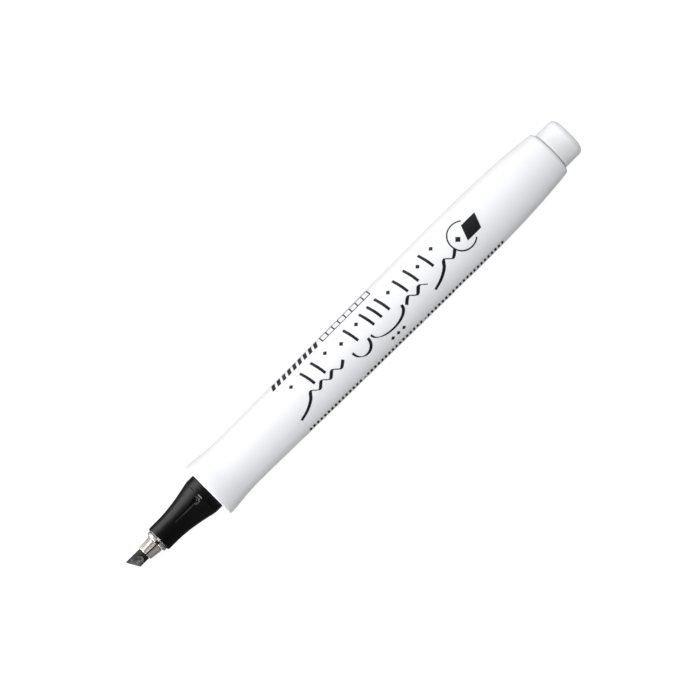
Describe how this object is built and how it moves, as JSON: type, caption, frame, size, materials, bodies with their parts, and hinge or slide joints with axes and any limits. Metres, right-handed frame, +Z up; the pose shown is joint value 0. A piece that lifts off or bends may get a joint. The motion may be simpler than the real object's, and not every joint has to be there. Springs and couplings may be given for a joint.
{
  "type": "calligraphy marker",
  "caption": "Uncapped calligraphy marker: white barrel, black flared nose, metal ferrule and a slanted chisel fibre nib fed by an ink reservoir.",
  "frame": {"origin": "under the middle of the marker as it lies, at the lowest line of the barrel's belly", "axes": "the pen's axis is along X with the nib towards -X and the tail towards +X; +Z is up, square to the nib's broad face"},
  "size_m": [0.1376, 0.0146, 0.0146],
  "materials": {
    "barrel_white": "satin moulded polypropylene",
    "plug_white": "satin moulded polypropylene",
    "section_black": "polished moulded plastic",
    "ferrule_metal": "turned and nickel plated",
    "nib_fibre": "ground bonded fibre, stained with black ink",
    "sleeve_plastic": "natural moulded plastic",
    "reservoir_fibre": "bundled fibre soaked with black ink",
    "wrap_film": "clear film",
    "breather_plastic": "extruded natural plastic"
  },
  "bodies": {
    "barrel": {"barrel": "barrel_white", "ink_reservoir": "reservoir_fibre", "reservoir_wrap": "wrap_film", "breather_tube": "breather_plastic"},
    "front_section": {"front_section": "section_black", "ferrule": "ferrule_metal", "nib_sleeve": "sleeve_plastic"},
    "nib": {"nib": "nib_fibre"},
    "tail_plug": {"tail_plug": "plug_white"}
  },
  "joints": [
    {"name": "section_pull", "type": "slide", "parent": "barrel", "child": "front_section", "axis": [-1, 0, 0], "range_m": [0, 0.02]},
    {"name": "nib_pull", "type": "slide", "parent": "front_section", "child": "nib", "axis": [-1, 0, 0], "range_m": [0, 0.036]},
    {"name": "tail_plug_pull", "type": "slide", "parent": "barrel", "child": "tail_plug", "axis": [1, 0, 0], "range_m": [0, 0.022]}
  ]
}
